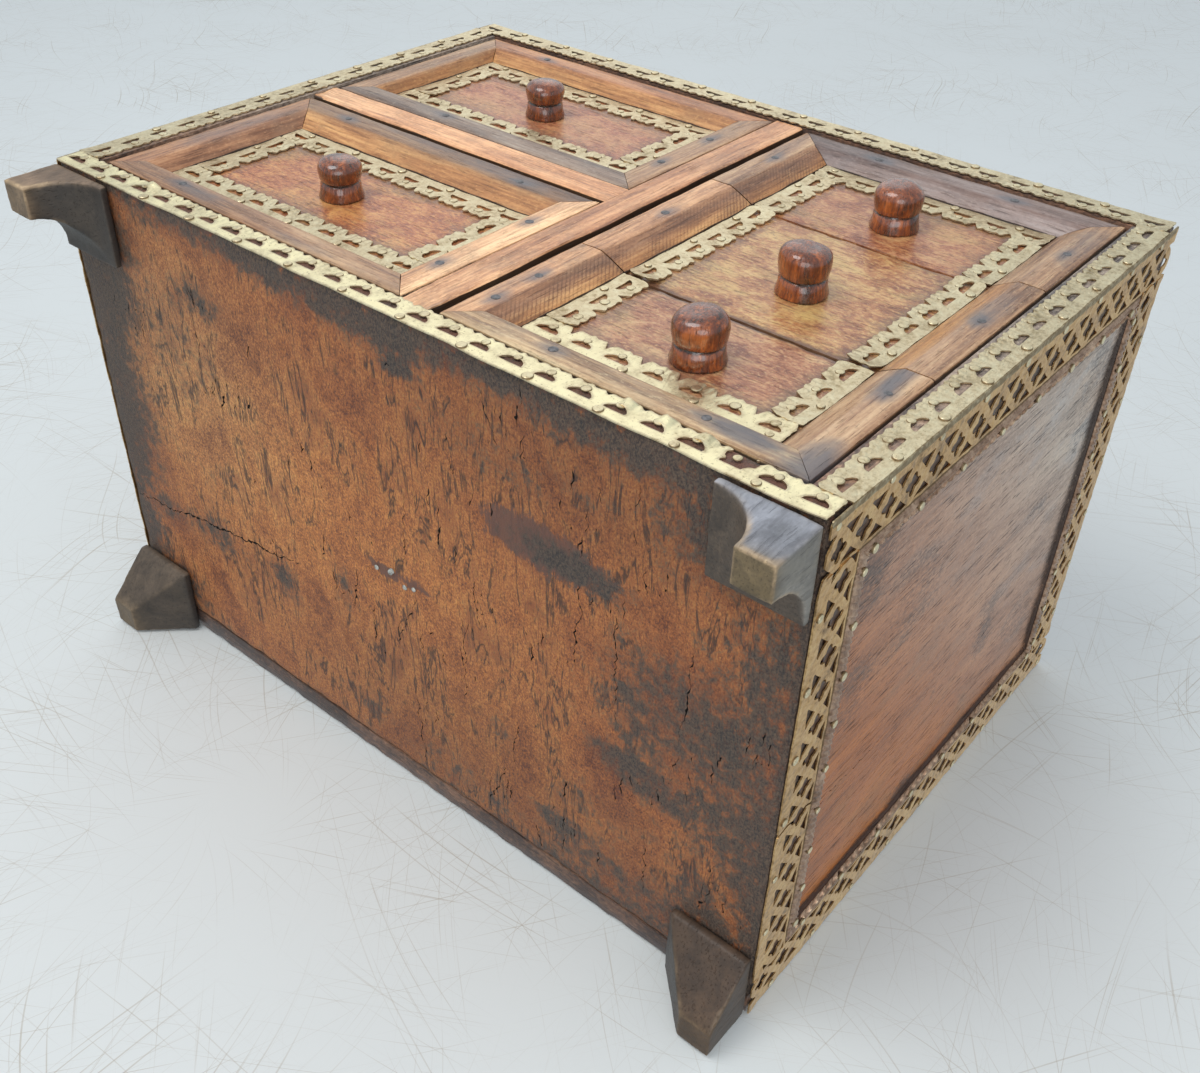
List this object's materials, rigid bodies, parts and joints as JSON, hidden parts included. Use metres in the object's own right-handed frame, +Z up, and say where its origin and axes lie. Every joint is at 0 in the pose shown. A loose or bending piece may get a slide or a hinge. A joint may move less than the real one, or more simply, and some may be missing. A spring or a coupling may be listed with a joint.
{
  "type": "table cabinet with drawers",
  "caption": "Small brass-bound wooden table cabinet on bracket feet, with drawers stacked in two columns, turned wooden knobs and pierced brass borders.",
  "frame": {"origin": "on the surface that the feet stand on, under the middle of the outline", "axes": "+X to the right as one faces the drawers, +Y towards the back, +Z up"},
  "size_m": [0.4374, 0.2888, 0.332],
  "materials": {
    "carcass_wood": "old, dry and stained",
    "foot_wood": "dark, worn at the tips",
    "panel_wood": "reddish, satin",
    "moulding_wood": "worn satin",
    "knob_wood": "dark, polished by use",
    "drawer_wood": "raw",
    "brass": "thin aged sheet",
    "copper": "thin aged coppery strip"
  },
  "bodies": {
    "carcass": {"bottom_board": "carcass_wood", "top_board": "carcass_wood", "left_side_board": "carcass_wood", "right_side_board": "carcass_wood", "back_board": "carcass_wood", "centre_partition": "moulding_wood", "left_dust_board": "moulding_wood", "right_dust_board_lower": "drawer_wood", "right_dust_board_upper": "drawer_wood", "front_left_foot": "foot_wood", "front_right_foot": "foot_wood", "back_left_foot": "foot_wood", "back_right_foot": "foot_wood", "front_brass_border": "brass", "left_brass_lattice": "brass", "right_brass_lattice": "brass", "left_copper_rope": "copper", "right_copper_rope": "copper"},
    "upper_left_drawer": {"upper_left_drawer_front": "panel_wood", "upper_left_drawer_bottom": "drawer_wood", "upper_left_drawer_left_side": "drawer_wood", "upper_left_drawer_right_side": "drawer_wood", "upper_left_drawer_back": "drawer_wood", "upper_left_knob": "knob_wood", "upper_left_drawer_moulding": "moulding_wood", "upper_left_drawer_brass": "brass"},
    "lower_left_drawer": {"lower_left_drawer_front": "panel_wood", "lower_left_drawer_bottom": "drawer_wood", "lower_left_drawer_left_side": "drawer_wood", "lower_left_drawer_right_side": "drawer_wood", "lower_left_drawer_back": "drawer_wood", "lower_left_knob": "knob_wood", "lower_left_drawer_moulding": "moulding_wood", "lower_left_drawer_brass": "brass"},
    "upper_right_drawer": {"upper_right_drawer_front": "panel_wood", "upper_right_drawer_bottom": "drawer_wood", "upper_right_drawer_left_side": "drawer_wood", "upper_right_drawer_right_side": "drawer_wood", "upper_right_drawer_back": "drawer_wood", "upper_right_knob": "knob_wood", "upper_right_drawer_moulding": "moulding_wood", "upper_right_drawer_brass": "brass"},
    "middle_right_drawer": {"middle_right_drawer_front": "panel_wood", "middle_right_drawer_bottom": "drawer_wood", "middle_right_drawer_left_side": "drawer_wood", "middle_right_drawer_right_side": "drawer_wood", "middle_right_drawer_back": "drawer_wood", "middle_right_knob": "knob_wood", "middle_right_drawer_moulding_left": "moulding_wood", "middle_right_drawer_brass_left": "brass", "middle_right_drawer_moulding_right": "moulding_wood", "middle_right_drawer_brass_right": "brass"},
    "lower_right_drawer": {"lower_right_drawer_front": "panel_wood", "lower_right_drawer_bottom": "drawer_wood", "lower_right_drawer_left_side": "drawer_wood", "lower_right_drawer_right_side": "drawer_wood", "lower_right_drawer_back": "drawer_wood", "lower_right_knob": "knob_wood", "lower_right_drawer_moulding": "moulding_wood", "lower_right_drawer_brass": "brass"}
  },
  "joints": [
    {"name": "upper_left_slide", "type": "slide", "parent": "carcass", "child": "upper_left_drawer", "axis": [0, -1, 0], "range_m": [0, 0.2]},
    {"name": "lower_left_slide", "type": "slide", "parent": "carcass", "child": "lower_left_drawer", "axis": [0, -1, 0], "range_m": [0, 0.2]},
    {"name": "upper_right_slide", "type": "slide", "parent": "carcass", "child": "upper_right_drawer", "axis": [0, -1, 0], "range_m": [0, 0.2]},
    {"name": "middle_right_slide", "type": "slide", "parent": "carcass", "child": "middle_right_drawer", "axis": [0, -1, 0], "range_m": [0, 0.2]},
    {"name": "lower_right_slide", "type": "slide", "parent": "carcass", "child": "lower_right_drawer", "axis": [0, -1, 0], "range_m": [0, 0.2]}
  ]
}
